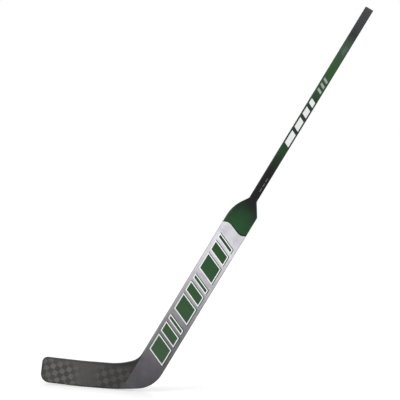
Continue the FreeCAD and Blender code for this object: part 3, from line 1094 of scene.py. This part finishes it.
def dropQuads(bars):
    quads = []
    moveU, moveV = bars["drop"], bars["slant"] * bars["drop"] + bars["drop"]
    for quad in barQuads(bars):
        lowRight, topRight, top = quad[1:]
        lowOut, topOut, leftOut = [(u + moveU, v + moveV) for u, v in quad[1:]]
        quads.append([lowRight, lowOut, topOut, topRight])
        quads.append([top, topRight, topOut, leftOut])
    return quads


def filmPiece(name, groups, materials, front):
    # groups are (quads, keyline width, number of the fill's material, number of the keyline's)
    bm = bmesh.new()
    side = -1 if front else 1
    base = side * (stick["halfDepth"] - film["sunk"])
    for quads, keyline, fill, line in groups:
        for quad in quads:
            face = bm.faces.new([bm.verts.new(boardPoint(u, v, base)) for u, v in quad])
            face.material_index = fill
            face.normal_update()
            if keyline:
                for ringFace in insetFaces(bm, [face], keyline):
                    ringFace.material_index = line
    bmesh.ops.remove_doubles(bm, verts=bm.verts, dist=mergeReach)
    grown = bmesh.ops.extrude_face_region(bm, geom=bm.faces[:], use_keep_orig=True)["geom"]
    lift = (0, side * (film["sunk"] + film["lift"]) * mm, 0)
    bmesh.ops.translate(bm, verts=picked(grown, vertKind), vec=lift)
    bmesh.ops.recalc_face_normals(bm, faces=bm.faces)
    toObject(bm, name, materials)


def printFilm(name, streaks, stops):
    look = {**film, "streaks": {"Amount": streaks, "Pitch": film["pitch"]}}
    material, tree, surface = startLacquer(name, look)
    colour = fadeRamp(useGroup(tree, axesGroup)["Along"], stops)
    colour = tinted(colour, streaksOf(tree, look))
    return finishShader(material, colour, surface["Roughness"], surface["Height"], look["bump"])


# printed green, lighter and greyer low on the paddle as painted glare over the print
printGreen = printFilm("printGreen", 0.22, [(120, (59, 84, 59)), (330, (46, 79, 48)), (600, (31, 70, 36))])
printWhite = printFilm("printWhite", 0.05, [
    (120, (226, 233, 226)), (600, (246, 249, 247)), (900, (228, 230, 229)), (1100, (228, 230, 229))])
printShade = printFilm("printShade", 0.2, [(120, (34, 36, 36)), (600, (28, 30, 30))])
printGrey = printFilm("printGrey", 0.15, [
    (700, (104, 105, 104)), (800, (108, 109, 108)), (1120, (158, 164, 160)), (1180, (150, 156, 152)),
    (1290, (98, 110, 101))])
paddlePrint = [(dropQuads(paddleBars), 0, 2, 2), (barQuads(paddleBars), paddleBars["keyline"], 0, 1)]
shaftPrint = [(barQuads(shaftBars), 0, 0, 0)]
shaftPrint += [(barQuads(marks), 0, 1, 1) for marks in (shaftMarks, gripMarks, neckMarks)]
for half in ("front", "back"):
    filmPiece(f"paddle_bars_{half}", paddlePrint, [printGreen, printWhite, printShade], half == "front")
    filmPiece(f"shaft_bars_{half}", shaftPrint, [printWhite, printGrey], half == "front")
print("films made")


# core inside the shells: the CAD solids stay, with their own finishes
def coreWood():
    look = {
        "stretch": (0.35, 0.012, 0.35),
        "rings": (1.0, 5.0, 0.5, 0.8),
        "ringFrom": (0.35, 0.65),
        "ringRough": (0.3, 0.7, 0.55, 0.7),
        "pores": (9.0, 2.0),
        "poreFrom": (0.62, 0.72, 0.0, 0.5),
        "early": (214, 186, 142),
        "late": (180, 143, 96),
        "pore": (120, 88, 56),
        "bump": (0.0001, 0.3),
    }
    material, tree = newMaterial("coreWood", Specular_IOR_Level=0.3)
    board = useGroup(tree, axesGroup)["Board"]
    place = addNode(tree, "ShaderNodeMapping", {"Vector": board, "Scale": look["stretch"]})[0]
    rings = noise(place, *look["rings"])
    pores = noise(place, *look["pores"])
    colour = mixColour(spread(rings, *look["ringFrom"]), paint(*look["early"]), paint(*look["late"]))
    colour = mixColour(spread(pores, *look["poreFrom"]), colour, paint(*look["pore"]))
    return finishShader(material, colour, spread(rings, *look["ringRough"]), pores, look["bump"])


def coreFoam():
    look = {
        "cellScale": 1.1,
        "cellFrom": (0.1, 0.6),
        "cellRough": (0.0, 0.7, 0.9, 0.75),
        "hollow": (196, 188, 160),
        "wall": (228, 222, 198),
        "bump": (0.0003, 0.5),
    }
    material, tree = newMaterial("coreFoam", Specular_IOR_Level=0.25)
    board = useGroup(tree, axesGroup)["Board"]
    cells = addNode(tree, "ShaderNodeTexVoronoi", {"Vector": board, "Scale": look["cellScale"]})["Distance"]
    colour = mixColour(spread(cells, *look["cellFrom"]), paint(*look["hollow"]), paint(*look["wall"]))
    return finishShader(material, colour, spread(cells, *look["cellRough"]), cells, look["bump"])


def ribLaminate():
    look = {
        "plyScale": 0.9,
        "plyWander": 0.6,
        "plyRough": (0.0, 1.0, 0.4, 0.55),
        "dark": (44, 44, 45),
        "light": (70, 70, 71),
        "bump": (0.00005, 0.3),
    }
    material, tree = newMaterial("ribLaminate", Specular_IOR_Level=0.4)
    board = useGroup(tree, axesGroup)["Board"]
    inputs = {"Vector": board, "Scale": look["plyScale"], "Distortion": look["plyWander"]}
    plies = addNode(tree, "ShaderNodeTexWave", inputs, bands_direction="Y")[1]
    colour = mixColour(plies, paint(*look["dark"]), paint(*look["light"]))
    return finishShader(material, colour, spread(plies, *look["plyRough"]), plies, look["bump"])


inside = [
    (coreWood(), ["paddle_spine", "heel_block", "paddle_edge_strip_toe_side", "paddle_edge_strip_heel_side"]),
    (coreFoam(), ["shoulder_filler_toe_side", "shoulder_filler_heel_side", "paddle_core_toe_side",
                  "paddle_core_heel_side", "blade_core_top", "blade_core_bottom"]),
    (ribLaminate(), ["blade_rib", "blade_edge_strip"]),
]
for material, nodeNames in inside:
    for nodeName in nodeNames:
        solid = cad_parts[nodeName]
        if not solid.material_slots:
            solid.data.materials.append(material)
        for materialSlot in solid.material_slots:
            materialSlot.material = material
print("core finished")

# camera square to the face, rolled as the stick hangs in the picture
camera = {
    "centre": (0.2979, 0.6273),
    "roll": math.radians(4.875),
    "lens": 100.0,
    "sensor": 36.0,
    "width": 1.28,
}


def makeCamera():
    lens = bpy.data.cameras.new("camera")
    lens.lens, lens.sensor_width = camera["lens"], camera["sensor"]
    eye = bpy.data.objects.new("camera", lens)
    bpy.context.scene.collection.objects.link(eye)
    reach = camera["width"] * camera["lens"] / camera["sensor"] + stick["halfDepth"] * mm
    cosRoll, sinRoll = math.cos(camera["roll"]), math.sin(camera["roll"])
    turn = Matrix(((cosRoll, 0, sinRoll), (-sinRoll, 0, cosRoll), (0, -1, 0))).transposed().to_4x4()
    eye.matrix_world = Matrix.Translation((camera["centre"][0], -reach, camera["centre"][1])) @ turn
    bpy.context.scene.camera = eye


makeCamera()

# white room: pale floor, even sky and three soft lamps
room = {
    "floorRadius": 14.0,
    "floorSides": 96,
    "floorCentre": 0.3,
    "floorDrop": 0.5,
    "floorColour": (0.8, 0.8, 0.8, 1.0),
    "floorRough": 0.9,
    "floorSpecular": 0.1,
    "floorGlow": (1.0, 4.5, 0.36, 0.62),
    "white": (1, 1, 1, 1),
    "sky": 0.6,
    "aim": (0.3, 0, 0.6),
    "lamps": [
        ("key", (-2.0, -2.9, 2.4), 2.0, 68.0),
        ("fill", (2.8, -2.2, 1.2), 2.4, 17.0),
        ("behind", (0.6, 3.2, 2.4), 2.4, 28.0),
    ],
}


def seenDirectly(tree):
    path = addNode(tree, "ShaderNodeLightPath")
    seen = calc("MAXIMUM", path["Is Camera Ray"], path["Is Glossy Ray"])
    return calc("MAXIMUM", seen, path["Is Transmission Ray"])


def makeSky():
    world = bpy.data.worlds.new("room")
    world.use_nodes = True
    bpy.context.scene.world = world
    tree = world.node_tree
    sky = tree.nodes["Background"]
    sky.inputs["Color"].default_value = room["white"]
    strength = spread(seenDirectly(tree), 0, 1, room["sky"], 1.0, smooth=False)
    tree.links.new(strength, sky.inputs["Strength"])


def makeFloor():
    bm = bmesh.new()
    bmesh.ops.create_circle(bm, cap_ends=True, segments=room["floorSides"], radius=room["floorRadius"])
    bmesh.ops.translate(bm, verts=bm.verts, vec=(room["floorCentre"], 0, -room["floorDrop"] * mm))
    mesh = bpy.data.meshes.new("floor")
    bm.to_mesh(mesh)
    bm.free()
    material, tree = newMaterial(
        "floor", Base_Color=room["floorColour"], Roughness=room["floorRough"],
        Specular_IOR_Level=room["floorSpecular"], Emission_Color=room["white"])
    point = addNode(tree, "ShaderNodeTexCoord")["Object"]
    away = addNode(tree, "ShaderNodeVectorMath", {0: point}, operation="LENGTH")["Value"]
    glow = times(seenDirectly(tree), spread(away, *room["floorGlow"]))
    tree.links.new(glow, tree.nodes["Principled BSDF"].inputs["Emission Strength"])
    mesh.materials.append(material)
    floor = bpy.data.objects.new("floor", mesh)
    bpy.context.scene.collection.objects.link(floor)


def makeLamps():
    for name, place, size, power in room["lamps"]:
        lamp = bpy.data.lights.new(name, "AREA")
        lamp.shape, lamp.size, lamp.energy = "DISK", size, power
        holder = bpy.data.objects.new(name, lamp)
        holder.location = place
        aim = Vector(room["aim"]) - Vector(place)
        holder.rotation_euler = aim.to_track_quat("-Z", "Y").to_euler()
        bpy.context.scene.collection.objects.link(holder)


makeSky()
makeFloor()
makeLamps()
bpy.context.scene.view_settings.view_transform = "Standard"
print("room lit")
